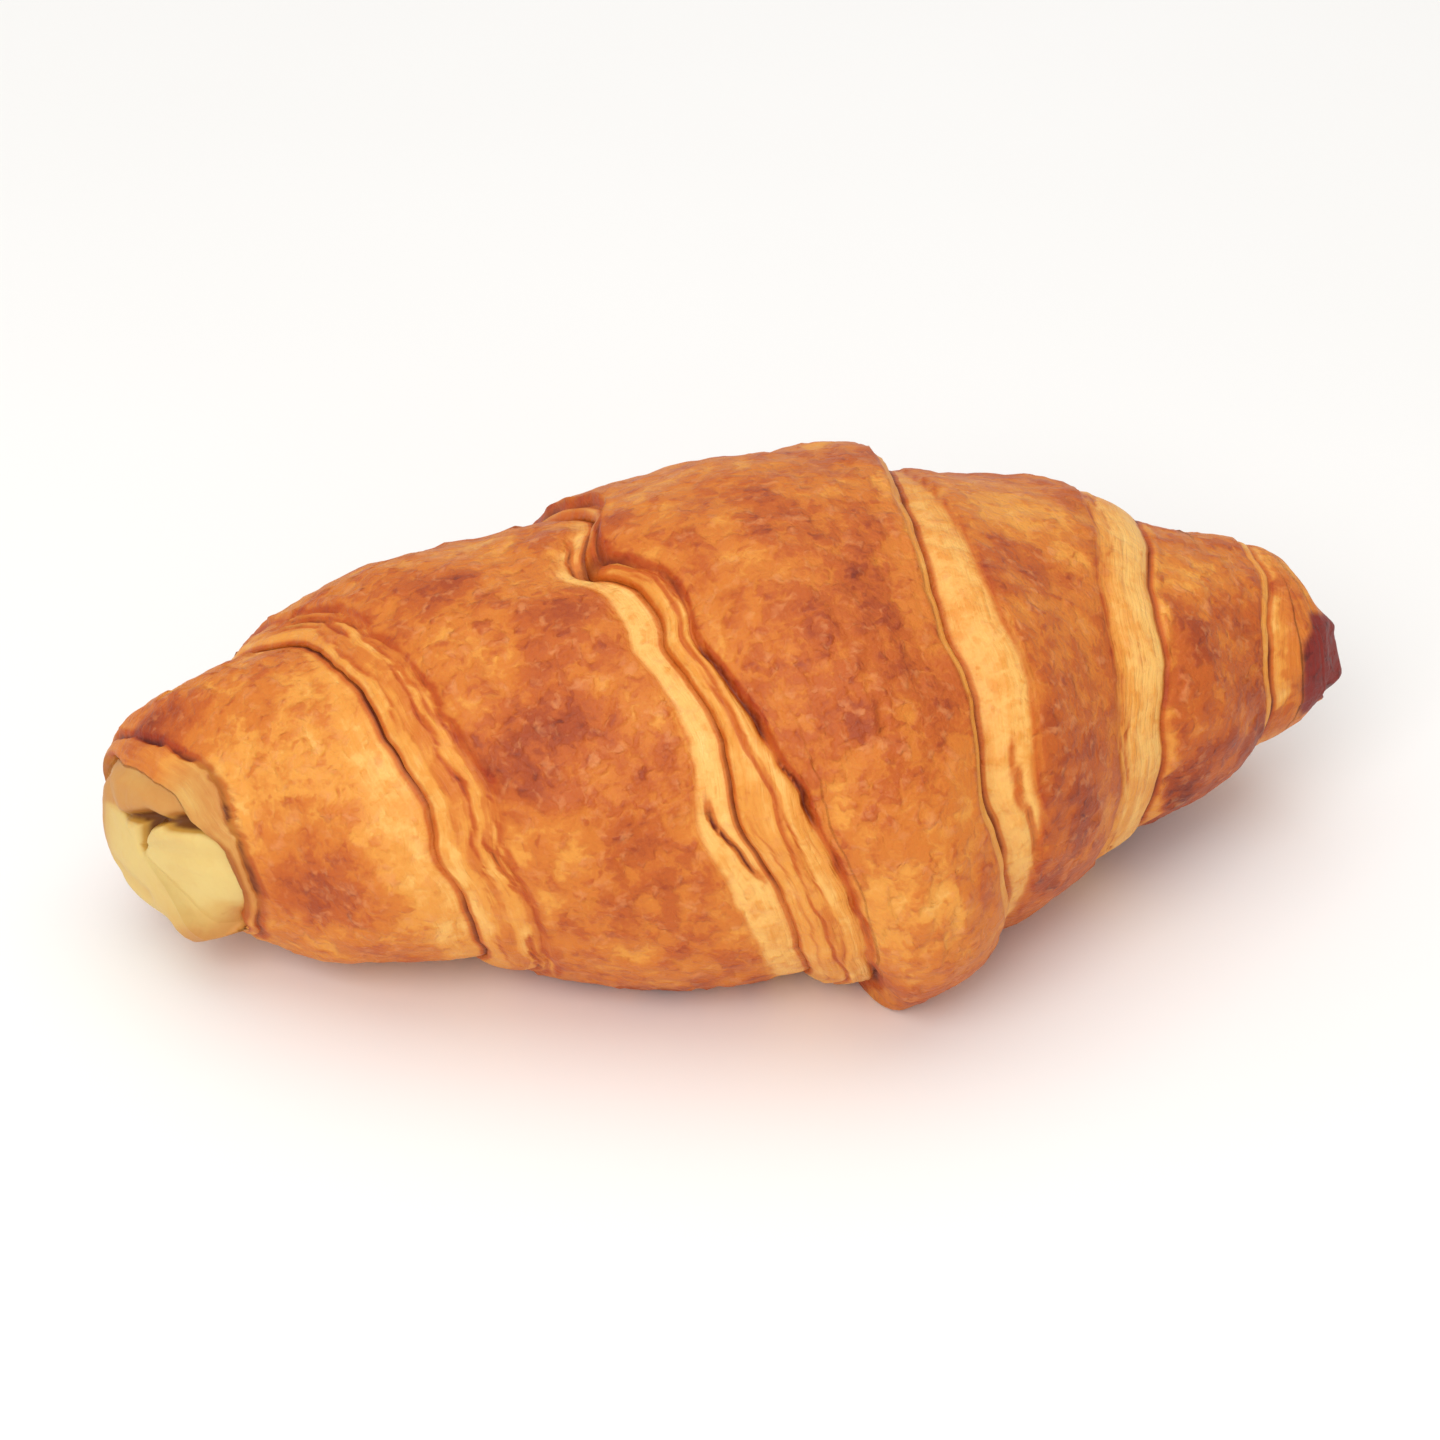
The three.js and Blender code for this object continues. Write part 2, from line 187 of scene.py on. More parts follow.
# Along its top the last left rim has grown into the face, and has no undercut there. From one turn
# on it is bare dough, but for a browned stretch.
GROWN_TURN = 900
GROWN_HALF = 74
BARE_TURN = 760
BROWNED_RIM = (880, 975)
RIM_SHARE = 0.08
# Width of the painted shade in the crevice just inside the left rim
RIM_CREVICE_SHADE = 0.8
END_RINGS = 20

# From this turn on the right end is fibrous all over; the fibres of both edges are unalike
FIBROUS_TURN = 880
FIBRES_APART = 500

# Flat of the belly, and the slow unevenness of the baked crust
PRESS = 1.2
LUMP = 0.38

# Fineness of the skin: rows in one turn, columns across a band on each side, and how closely
# columns stand on the margin, the crust and the cut edge
TURN_ROWS = 250
COLUMNS = {"left": 56, "right": 40}
FOOT_COLUMNS = 2
UNDER_COLUMNS = 3
SPACING = {"margin": 0.38, "crust": 0.66, "lip": 0.3}

# Fine relief of the bake, across and along the bands where two sizes are given
FLAKE_SIZE = (3.0, 5.5)
FLAKE_STEP = 0.34
FLAKE_WARP = 0.35
FLAKE_BROWN = 0.08
WARP_SIZE = 1.7
WRINKLE_SIZE = (1.2, 11)
WRINKLE = 0.12
STREAK_SIZE = (1.3, 4.5)

# Speckles over the skin: the size of each kind, how strong it is and its seed
BLISTERS = [(4.6, 0.26, 30), (2.4, 0.17, 31), (1.3, 0.09, 32)]
FLAKY = [(11, 0.9, 45)]
BLOTCHES = [(9, 0.14, 51), (3.6, 0.09, 52)]
FACE_SPECKLE = [(4, 0.06, 61)]
END_SPECKLE = [(2, 0.1, 62)]
BURN_SPECKLE = [(2, 0.12, 63)]
KNOB_CRAGS = [(1.7, 0.5, 64)]

# Unevenness along the edges: the size of each kind in degrees of turn, how far it goes and its seed
RAG = [(9, 0.22, 3), (3.7, 0.154, 4)]
CREVICE_WANDER = [(17, 0.45, 8)]
TEAR_WANDER = [(7, 0.4, 9)]
SOFT_BORDER = [(13, 0.8, 21), (4, 0.5, 22)]
SHARP_BORDER = [(13, 0.35, 21), (4, 0.08, 22)]
PLY_WANDER = [(3.2, 0.12, 13), (8, 0.28, 14)]
PLY_MARKS = (19, 3.4, 20, 7)
# The seams' wander only changes how dark the painted shade in them is
SEAM_SHADE_WANDER = [(21, 0.6, 91)]

# Seeds of the other random values, and the cells of a random grid
WARP_SEEDS = (41, 42, 43)
FLAKE_SEED = 44
WRINKLE_SEED = 46
STREAK_SEED = 54
PLY_SEED = 70
NOISE_GRID = 48

# Plies that show in the cut edge of each turn, from the crust to the nose: where each ends, as a
# share of the edge's width, how deep the groove past it is, and how brown the next ply is
# A groove's depth also sets how dark the painted shade in it is
PLIES = {
    "left": [
        [(0.03, 1.2, 0.36), (0.2, 0.15, 0.28), (0.42, 0.2, 0.45), (0.56, 0.25, 0.34), (0.82, 0.15, 0.31)],
        [(0.04, 0.3, 0.36), (0.12, 0.3, 0.52), (0.26, 0.4, 0.33), (0.42, 0.4, 0.48), (0.72, 0.2, 0.34)],
        [(0.04, 0.8, 0.42)],
    ],
    "right": [
        [(0.1, 0.15, 0.34)],
        [(0.05, 0.2, 0.48), (0.14, 0.3, 0.36), (0.28, 0.3, 0.28), (0.5, 0.1, 0.23)],
        [(0.1, 0.15, 0.34)],
    ],
}
PLY_TURN = [-20, 380, 740, 1450]
PLY_BEAD = 0.16

# How brown the inner margin of each turn is
MARGIN_BROWN_TURN = {"left": [380, 470, 530, 570, 760, 900, 1132],
                     "right": [380, 500, 560, 780, 1060, 1160, 1420]}
MARGIN_BROWN = {"left": [0.26, 0.2, 0.2, 0.32, 0.33, 0.34, 0.3],
                "right": [0.26, 0.24, 0.36, 0.4, 0.4, 0.3, 0.34]}

# How brown each turn is baked, from 0, raw dough, to 1, burnt
BROWN_TURN = {"left": [0, 330, 400, 640, 720, 1132], "right": [0, 330, 400, 640, 740, 900, 1420]}
BROWN = {"left": [0.57, 0.57, 0.57, 0.57, 0.48, 0.45], "right": [0.57, 0.57, 0.6, 0.62, 0.78, 0.58, 0.52]}

# Darker and lighter patches: station, turn round the body, radius, change of browning
PATCHES = [
    (-48.5, 133, 5.5, 0.2), (-45.1, 121, 4.5, 0.1), (-44, 202, 8, 0.08),
    (-59.9, 146, 4, -0.1), (-59.8, 124, 4.5, -0.13), (-59.5, 102, 4.5, -0.15),
    (-57.3, 76, 3.5, -0.14), (-74.5, 208, 4.5, 0.36), (-71.7, 94, 5.5, 0.3),
    (-70, 178, 5, 0.03), (-6, 142, 6, 0.12), (-8.3, 124, 5, 0.1),
    (-21.9, 143, 5, 0.08), (-11, 184, 6, 0.06), (-5, 88, 9, -0.14),
    (12.5, 106, 5, 0.1), (13, 79, 6, 0.12), (23, 182, 8, -0.1),
    (40.6, 159, 5, -0.12), (34, 74, 8, 0.12), (-40, 71, 8, -0.04),
]


def clamp(value):
    return np.clip(value, 0, 1)


def mix(a, b, share):
    return a + (b - a) * share


def ease(value):
    share = clamp(value)
    return share * share * (3 - 2 * share)


def bump(gap, width):
    """A smooth bump: 1 in its middle, and next to nothing two widths away."""
    return np.exp(-((gap / width) ** 2))


def lopsided(gap, steep, gentle):
    """A smooth bump that falls off quickly where the gap is positive and slowly elsewhere."""
    return bump(gap, np.where(gap > 0, steep, gentle))


def curve(places, values):
    """A smooth curve through the given values that never overshoots them."""
    places = np.array(places, float)
    values = np.array(values, float)
    run = np.diff(places)
    rate = np.diff(values) / run
    slopes = np.concatenate([rate[:1], np.zeros(len(run) - 1), rate[-1:]])
    before, after = rate[:-1], rate[1:]
    weighted = (before * run[1:] + after * run[:-1]) / (run[1:] + run[:-1])
    slopes[1:-1] = np.where(before * after <= 0, 0, weighted)

    def at(place):
        i = np.clip(np.searchsorted(places, place) - 1, 0, len(run) - 1)
        u = clamp((place - places[i]) / run[i])
        v = 1 - u
        start = values[i] * (1 + 2 * u) * v * v + slopes[i] * run[i] * u * v * v
        end = values[i + 1] * (3 - 2 * u) * u * u - slopes[i + 1] * run[i] * u * u * v
        return start + end

    return at


def side_curves(turns, values):
    return {side: curve(turns[side], values[side]) for side in SIDES}


half_height = curve(STATION, HALF_HEIGHT)
middle_back = curve(STATION, MIDDLE_BACK)
ring_lean = curve(LEAN_STATION, LEAN)
edge_curve = side_curves(EDGE_TURN, EDGE)
lip_width = side_curves(LIP_TURN, LIP)
margin_width = side_curves(MARGIN_TURN, MARGIN)
turn_browning = side_curves(BROWN_TURN, BROWN)
border_height = side_curves(BORDER_TURN, BORDER)
margin_browning = side_curves(MARGIN_BROWN_TURN, MARGIN_BROWN)


def speckle(points, size, seed):
    """Smooth random values from -1 to 1 at points, uneven over about size."""
    dimensions = points.shape[-1]
    grid = np.random.default_rng(seed).uniform(-1, 1, (NOISE_GRID,) * dimensions)
    place = points / size
    cell = np.floor(place)
    share = ease(place - cell)
    cell = cell.astype(int)
    total = np.zeros(points.shape[:-1])
    for corner in np.ndindex(*(2,) * dimensions):
        index = tuple((cell[..., i] + corner[i]) % NOISE_GRID for i in range(dimensions))
        total += grid[index] * np.prod(np.where(corner, share, 1 - share), -1)
    return total


def along_edge(turn, size, seed):
    """Random values that wander along an edge of the sheet; size is in degrees of turn."""
    return speckle(np.asarray(turn, float)[..., None], size, seed)


def wander(turn, steps):
    """Unevenness along an edge, as the sum of all its kinds."""
    return sum(far * along_edge(turn, size, seed) for size, far, seed in steps)


def flakes_over(points, seed):
    """Irregular plates that cover a surface: a random number for each, and place across it."""
    random = np.random.default_rng(seed)
    middles = random.uniform(0, 1, (NOISE_GRID,) * 3 + (3,))
    numbers = random.uniform(-1, 1, (NOISE_GRID,) * 3)
    cell = np.floor(points).astype(int)
    nearest = np.full(points.shape[:-1], np.inf)
    number = np.zeros(points.shape[:-1])
    across = np.zeros(points.shape[:-1])
    for step in np.ndindex(3, 3, 3):
        corner = cell + np.array(step) - 1
        index = tuple(corner[..., i] % NOISE_GRID for i in range(3))
        away = points - corner - middles[index]
        gap = np.linalg.norm(away, axis=-1)
        closer = gap < nearest
        number = np.where(closer, numbers[index], number)
        across = np.where(closer, away[..., 0] + 0.5 * away[..., 1], across)
        nearest = np.where(closer, gap, nearest)
    return number, across


def end_lift(station):
    away = station - LIFT_CENTRE
    height = np.where(away < 0, LIFT["left"], LIFT["right"])
    reach = np.where(away < 0, LIFT_REACH["left"], LIFT_REACH["right"])
    return height * (np.abs(away) / reach) ** LIFT_POWER


def free_height(station, turn, rise):
    """Height before the belly is pressed flat on the tray."""
    half = half_height(station)
    down = np.cos(np.radians(turn))
    reach = np.where(down > 0, BELLY_RATIO * half + rise, half + rise)
    return MIDDLE_HEIGHT * half + end_lift(station) - reach * down


def pressed(height):
    blend = (height + PRESS) ** 2 / (4 * PRESS)
    return np.where(height >= PRESS, height, np.where(height <= -PRESS, 0, blend))


def lump(station, turn):
    round_body = np.radians(turn)
    first = np.sin(0.19 * station + 2 * np.sin(round_body) + 0.6)
    second = np.sin(0.11 * station - 3 * np.cos(round_body) + 2.1)
    third = np.sin(0.31 * station + 4 * round_body + 1.3)
    return LUMP * (first * second + 0.5 * third)


def skin_point(station, turn, rise):
    """A point of the skin: its station, its turn round the body and its rise off the round."""
    back = -(WIDTH_RATIO * half_height(station) + rise) * np.sin(np.radians(turn))
    height = pressed(free_height(station, turn, rise))
    return np.stack([station - ring_lean(station) * back, middle_back(station) + back, height], -1)


def edge_station(side, turn):
    """Where an edge of the sheet lies: its winding, its slow waver and its fine ragged cut."""
    last_turn = TIP_TURN + 360 * TURNS[side]
    station = edge_curve[side](turn)
    settle = ease((turn - TIP_TURN) / CALM_TIP) * ease((last_turn - turn) / CALM_END)
    shifted = turn + WAVER_START[side]
    slow = sum(far * np.sin(np.radians(waves * shifted + start)) for far, waves, start in WAVER)
    ragged = wander(turn, RAG)
    return station + (slow + ragged) * settle * half_height(station) / THICK_HALF


def grown_in(side, turn):
    near = ease(1.6 - 1.6 * np.abs(turn - GROWN_TURN) / GROWN_HALF)
    return near if side == "left" else 0 * near


def bare_rim(side, turn):
    """The last left rim is cut so far in that it shows bare dough, but for a browned stretch."""
    start, end = BROWNED_RIM
    browned = ease((turn - start) / 25) * ease((end - turn) / 25)
    bare = 0.8 * ease((turn - BARE_TURN) / 60) * (1 - 0.9 * browned)
    return bare if side == "left" else 0 * bare


def tongue_rise(turn):
    return TONGUE_RISE * ease(1.5 - 1.5 * np.abs(turn - TONGUE_TURN) / TONGUE_HALF)


class Rows:
    """Sizes of the rows of a band, which shrink together where the band is narrow."""

    def __init__(self, side, turn, inner, outer, covered):
        self.side = side
        self.turn = turn
        self.inner = inner
        self.covered = covered
        self.width = np.abs(outer - inner)
        self.size = np.minimum(1, mix(2 * self.width, self.width, covered) / FULL_BAND)
        self.whole = clamp(2 * self.size)
        free = ease((free_height(outer, turn, 0) - 0.5) / 4)
        self.lip = np.minimum(lip_width[side](turn) * self.size, 0.8 * self.width)
        self.margin = margin_width[side](turn) * self.size
        self.foot = FOOT * self.size
        self.grown = grown_in(side, turn)
        loose = 1 - self.grown
        self.under = UNDERCUT * self.size * free * loose
        self.step_in = STEP_SHARE * half_height(inner) * self.size
        self.step_out = STEP_SHARE * half_height(outer) * self.size
        self.rise = RISE_SHARE * half_height(mix(inner, outer, 0.5)) * self.size
        self.crevice = CREVICE * self.size * loose * (1 + wander(turn, CREVICE_WANDER))
        self.border = border_height[side](turn) * covered * self.whole
        self.tongue = tongue_rise(turn) * self.size
        self.crest = self.width - self.lip


def band_rise(rows, out, covered):
    """Rise of a band's top between its inner seam and its cut edge."""
    share = clamp(out / rows.crest)
    seated = -0.5 * rows.step_in
    crest = 0.5 * rows.step_out
    climb = mix(seated, crest, ease(0.15 + 0.85 * share))
    arch = rows.rise * 4 * share * (1 - share)
    whole = crest + rows.rise * (1 - share * share) + rows.tongue * (1 - share ** 3)
    return mix(whole, climb + arch, covered)


def past_margin(rows, out):
    """How far past the bared margin a place lies, towards the crust."""
    soft = wander(rows.turn, SOFT_BORDER)
    sharp = wander(rows.turn, SHARP_BORDER)
    return out - rows.margin - mix(soft, sharp, rows.border)


def torn_depth(rows, out):
    """Depth of the tears in the bared margins."""
    deep = np.zeros(out.shape)
    sideways = wander(rows.turn, TEAR_WANDER)
    for side, from_turn, from_out, to_turn, to_out, depth in TEARS:
        if side == rows.side:
            share = clamp((rows.turn - from_turn) / (to_turn - from_turn))
            middle = mix(from_out, to_out, share) * rows.size + sideways
            ends = ease(share / 0.3) * ease((1 - share) / 0.3)
            deep = np.maximum(deep, depth * ends * rows.size * lopsided(out - middle, *TEAR_WIDTH))
    return deep


def border_depth(rows, out):
    """Depth of the step down from the crust's own edge onto the bared margin."""
    past = past_margin(rows, out)
    return BORDER_STEP * rows.border * ease(0.5 - past / 0.7) * bump(np.minimum(past, 0), 2.2)


def ply_fall(share):
    """How the cut edge falls from the crust to its nose."""
    nose = 1 - TOP_PLY_FALL - RAMP_FALL
    return TOP_PLY_FALL * ease(share / TOP_PLY_SHARE) + RAMP_FALL * share + nose * share ** NOSE_POWER


def turn_share(turn, number):
    """How much of a place belongs to one turn of the sheet; the next takes over under the belly."""
    begun = ease((turn - PLY_TURN[number]) / 30 + 0.5)
    return begun * (1 - ease((turn - PLY_TURN[number + 1]) / 30 + 0.5))


def plies_near(rows, out):
    """Each ply of the cut edge: the way past its end, its share, how clear it is, and its own values."""
    free = clamp(rows.lip / 4)
    common = free * wander(rows.turn, PLY_WANDER)
    for number, plies in enumerate(PLIES[rows.side]):
        here = turn_share(rows.turn, number)
        for i, (end, groove, brown) in enumerate(plies):
            seed = PLY_SEED + 10 * number + i
            wanders = (along_edge(rows.turn, size, seed + 100 * j) for j, size in enumerate(PLY_MARKS))
            slow, quick, faint, broken = wanders
            own = free * (0.75 * slow * clamp(end / 0.3) + 0.2 * quick)
            clear = clamp(0.9 + 0.5 * broken) * mix(1, clamp(0.6 + 1.2 * faint), clamp(end / 0.2))
            past = out - rows.crest - end * rows.lip + common + own
            yield past, here, here * clear, groove, brown


def lip_share(rows, out):
    """Where the plies show: from just inside the crust to the nose."""
    return clamp(rows.lip / 1.5) * ease((out - rows.crest + 0.6) / 0.7) * ease((rows.width - out) / 0.5)


def ply_relief(rows, out):
    """Beads and grooves of the plies, over the plain fall of the cut edge."""
    relief = np.zeros(out.shape)
    for past, _, clear, groove, _ in plies_near(rows, out):
        bead = (PLY_BEAD + 0.1 * groove) * bump(past + 0.5, 0.4)
        relief += clear * (bead - groove * lopsided(-past, 0.2, 0.32 + 0.3 * groove))
    return relief * lip_share(rows, out)


def ply_tone(rows, out):
    """How brown the plies of the cut edge are, and how dark the painted shade in their grooves is."""
    tone = turn_browning[rows.side](rows.turn) + 0 * out
    deepest = np.zeros(out.shape)
    for past, here, clear, groove, brown in plies_near(rows, out):
        tone = mix(tone, brown, here * ease(past / 0.35 + 0.5))
        width = 0.18 + 0.2 * groove
        deepest = np.maximum(deepest, clear * clamp(2 * groove) * bump(past - 0.4 * width, width))
    return tone, deepest * lip_share(rows, out)


def span_places(rows, count):
    """Distance out of the columns from foot to nose, closer where the surface is finer."""
    margin = (rows.margin - rows.foot) / SPACING["margin"]
    crust = (rows.crest - rows.margin) / SPACING["crust"]
    lip = rows.lip / SPACING["lip"]
    cost = np.linspace(0, 1, count)[None, :] * (margin + crust + lip)
    on_margin = rows.foot + np.minimum(cost, margin) * SPACING["margin"]
    on_crust = np.clip(cost - margin, 0, crust) * SPACING["crust"]
    on_lip = np.maximum(cost - margin - crust, 0) * SPACING["lip"]
    return on_margin + on_crust + on_lip


def band_columns(rows):
    """Distance out and rise of every column: seam, margin, crust, cut edge, undercut."""
    count = COLUMNS[rows.side] - FOOT_COLUMNS - UNDER_COLUMNS + 1
    nose = mix(-0.5 * rows.step_out + 0.35 * rows.size, 0, rows.grown)
    seam_rise = -0.5 * rows.step_in - rows.crevice
    split = span_places(rows, count)
    even = rows.width * np.linspace(FOOT_COLUMNS / (count + 1), 1, count)[None, :]
    out = mix(even, split, rows.covered)
    share = clamp((out - rows.crest) / rows.lip)
    top = band_rise(rows, np.minimum(out, rows.crest), rows.covered)
    rise = mix(top, nose, ply_fall(share)) + ply_relief(rows, out)
    foot = np.linspace(0, 1, FOOT_COLUMNS + 1)[None, 1:-1]
    foot_out = mix(-rows.under * rows.covered, out[:, :1], foot)
    seam = mix(band_rise(rows, 0 * rows.width, 0), seam_rise, rows.covered)
    foot_rise = mix(seam, rise[:, :1], ease(0.2 + 0.8 * foot))
    tuck = np.linspace(0, 1, UNDER_COLUMNS + 1)[None, 1:]
    under_out = rows.width - rows.under * (1 - np.cos(tuck * math.pi / 2)) + 0.6 * rows.grown * tuck
    deepest = mix(-0.5 * rows.step_out - rows.crevice, nose - 0.25, rows.grown)
    under_rise = mix(nose, deepest, np.sin(tuck * math.pi / 2))
    out = np.concatenate([-rows.under * rows.covered, foot_out, out, under_out], 1)
    rise = np.concatenate([seam, foot_rise, rise, under_rise], 1)
    return out, rise


def round_body(station, turn, across, along):
    """Places for noise that follows the wrap of the dough, across and along the bands."""
    radius = 0.9 * WIDTH_RATIO * THICK_HALF
    angle = np.radians(turn)
    lie = [station / across, radius * np.cos(angle) / along, radius * np.sin(angle) / along]
    return np.stack(np.broadcast_arrays(*lie), -1)


def speckled(points, marks):
    """Speckles over the skin, as the sum of all their kinds."""
    return sum(strength * speckle(points, size, seed) for size, strength, seed in marks)


def flaked(station, turn, points):
    """Lifted flakes: a random number for each, and how far each place lifts."""
    warp = np.stack([speckle(points, WARP_SIZE, seed) for seed in WARP_SEEDS], -1)
    places = round_body(station, turn, *FLAKE_SIZE) + FLAKE_WARP * warp
    flake, tilt = flakes_over(places, FLAKE_SEED)
    flaky = ease(0.5 + speckled(points, FLAKY))
    return flake * flaky, FLAKE_STEP * flaky * (0.5 * flake + 0.7 * tilt)


def wrinkled(rows, station, out):
    """Fine wrinkles round the bands, deeper near their edges."""
    fold = speckle(round_body(station, rows.turn, *WRINKLE_SIZE), 1, WRINKLE_SEED)
    near_edge = ease(1 - (rows.crest - out) / 9) + 0.5 * ease(1 - (out - rows.margin) / 6)
    return WRINKLE * (1 - 2 * np.abs(fold)) * (0.35 + 0.65 * near_edge * rows.covered)


def crust_share(rows, out):
    """How much of the surface is browned crust, against pale margin and cut edge."""
    soft = mix(0.35 * rows.margin + 0.6, 0.5, rows.border)
    baked_in = mix(1, ease(past_margin(rows, out) / soft + 0.5), rows.covered)
    return baked_in, ease((rows.crest - out + 0.6) / 0.8)


def bake_relief(rows, station, out, points):
    """Relief of the bake, in millimetres, and the tone of its flakes."""
    crust = np.prod(crust_share(rows, out), 0)
    blisters = speckled(points, BLISTERS)
    flake, lifted = flaked(station, rows.turn, points)
    whole = crust * (blisters + lifted) + (0.3 + 0.7 * crust) * wrinkled(rows, station, out)
    whole = rows.size * (whole + 0.3 * (1 - crust) * blisters)
    at_nose = ease((rows.width - out - 0.1) / 0.7)
    fade = at_nose * mix(1, ease((out - 0.2) / 1.2), rows.covered)
    relief = fade * (whole - torn_depth(rows, out) - border_depth(rows, out))
    return relief - hollow_depth(station, rows.turn), flake


def gap_from(station, turn, at_station, at_turn):
    """Distance over the skin from a place, in millimetres."""
    round_gap = (turn - at_turn + 180) % 360 - 180
    return np.hypot(station - at_station, np.radians(round_gap) * half_height(at_station) * MEAN_RATIO)


def patch_browning(station, turn):
    """Darker and lighter patches of the bake."""
    change = np.zeros(np.broadcast(station, turn).shape)
    for at_station, at_turn, radius, amount in PATCHES:
        change += amount * bump(gap_from(station, turn, at_station, at_turn), radius)
    return change


def hollow_depth(station, turn):
    depth = np.zeros(np.broadcast(station, turn).shape)
    for at_station, at_turn, radius, deep in HOLLOWS:
        gap = gap_from(station, turn, at_station, at_turn) / radius
        depth = np.maximum(depth, deep * np.exp(-(gap ** 3)))
    return depth


def browning_of(rows, station, out, points, flake):
    """How brown the surface is, from 0, raw dough, to 1, burnt, and the painted shade in the plies' grooves.
    """
    baked_in, baked_out = crust_share(rows, out)
    patches = patch_browning(station, rows.turn)
    blotch = speckled(points, BLOTCHES) + FLAKE_BROWN * flake
    crust = turn_browning[rows.side](rows.turn) + patches + blotch
    streak = speckle(round_body(station, rows.turn, *STREAK_SIZE), 1, STREAK_SEED)
    pale = margin_browning[rows.side](rows.turn) + 0.05 * streak + 0.5 * patches
    plies, groove = ply_tone(rows, out)
    outward = mix(plies + 0.08 * streak + 0.5 * patches, crust, baked_out)
    return mix(pale, outward, baked_in), groove


def crease_shade_of(rows, station, out, groove):
    """How dark the painted shade is, from 0 to 1, where a place lies deep in a seam, a tear or between
    plies, under a nose, beside a border or in a hollow.
    """
    # Each term is painted shade: in the seam, under the nose, in a tear, beside the border, in a ply groove
    # and in a hollow
    seam = clamp(0.85 + wander(rows.turn, SEAM_SHADE_WANDER)) * bump(np.maximum(out, 0), 0.6)
    nose = 0.5 * (1 - rows.grown) * bump(rows.width - out, 0.25)
    tear = clamp(1.3 * torn_depth(rows, out))
    border = 0.35 * rows.border * bump(past_margin(rows, out) + 0.2, 0.5)
    hollow = clamp(0.6 * hollow_depth(station, rows.turn))
    return np.maximum.reduce([seam * rows.covered, nose, tear, border, groove, hollow]) * rows.whole


def fibrous_share(rows, out, on_lip):
    """How much the fibres of the dough show: on cut edges, margins and the whole of the right end."""
    on_margin = 0.6 * ease((rows.margin - out + 0.6) / 1.5) * rows.covered
    near_lip = 0.3 * ease(1 - (rows.crest - out) / 5)
    at_end = ease((rows.turn - FIBROUS_TURN) / 60) if rows.side == "right" else 0
    return np.maximum.reduce(np.broadcast_arrays(on_lip, on_margin, near_lip, at_end)) * rows.whole


def arc_length(side, turn):
    """Length along a band from the tip, in millimetres, at each of its rows."""
    step = np.radians(360 / TURN_ROWS)
    return np.cumsum(MEAN_RATIO * half_height(edge_station(side, turn)) * step)


def fibre_places(rows, out, arc):
    """Places along the fibres of the dough, which follow the nearer edge of the band."""
    inner_side = out < 0.5 * (rows.margin + rows.crest)
    across = np.where(inner_side, out, out - rows.width + FIBRES_APART)
    return np.stack(np.broadcast_arrays(across, arc[:, None], 0 * out), -1)


def middle_station(turn, covered):
    """The line where both halves of the outermost turn meet."""
    between = 0.5 * (edge_station("left", turn) + edge_station("right", turn))
    return mix(between, EDGE["left"][0], covered)


def band(side):
    """One half of the sheet: its points and what the finish needs to know there."""
    number = np.arange(1, round(TURNS[side] * TURN_ROWS))
    turn = TIP_TURN + 360 * number / TURN_ROWS
    covered = ease((turn - TIP_TURN - 300) / 60)
    free_inner = middle_station(turn, covered)
    inner = np.where(number > TURN_ROWS, edge_station(side, turn - 360), free_inner)
    across_rows = (turn, inner, edge_station(side, turn), covered)
    rows = Rows(side, *(values[:, None] for values in across_rows))
    out, rise = band_columns(rows)
    station = rows.inner + OUTWARD[side] * out
    rise = rise + lump(station, rows.turn)
    plain = skin_point(station, rows.turn, rise)
    relief, flake = bake_relief(rows, station, out, plain)
    browning, groove = browning_of(rows, station, out, plain, flake)
    on_lip = clamp((out - rows.crest) / 0.6 + 0.5)
    lies = {
        "browning": browning,
        "fibrous": fibrous_share(rows, out, on_lip),
        "crease_shade": crease_shade_of(rows, station, out, groove),
        "dough": on_lip * bare_rim(side, rows.turn),
        "fibre": fibre_places(rows, out, arc_length(side, turn)),
    }
    return {"plain": plain, "points": skin_point(station, rows.turn, rise + relief), "lies": lies}


def index_grid(side, first, middle):
    """Vertex numbers of a side: rows share the free edge of the turn that lies over them."""
    count = round(TURNS[side] * TURN_ROWS)
    columns = COLUMNS[side]
    grid = np.zeros((count + 1, columns + 1), int)
    grid[1:count, 1:] = first + np.arange((count - 1) * columns).reshape(count - 1, columns)
    grid[1:TURN_ROWS, 0] = middle
    grid[TURN_ROWS:, 0] = grid[: count + 1 - TURN_ROWS, -1]
    grid[count] = grid[count - TURN_ROWS, -1]
    return grid


def strip_faces(first, second, flip):
    """Quads between two rows of vertex numbers, or between the rows of two stacks."""
    corners = [first[..., :-1], first[..., 1:], second[..., 1:], second[..., :-1]]
    if flip:
        corners = [corners[0], corners[3], corners[2], corners[1]]
    return np.stack(corners, -1).reshape(-1, 4)


def ridge(arms, height, width, right, up, taper=0):
    """Height of some rounded ridges at a place on an end; each may narrow to its far end."""
    most = np.zeros_like(right)
    for from_right, from_up, to_right, to_up in arms:
        along = np.array([to_right - from_right, to_up - from_up])
        away = np.stack([right - from_right, up - from_up], -1)
        share = clamp(away @ along / (along @ along))
        gap = np.linalg.norm(away - share[..., None] * along, axis=-1)
        narrowed = 1 - taper * share
        most = np.maximum(most, narrowed * bump(gap, width * narrowed))
    return height * most


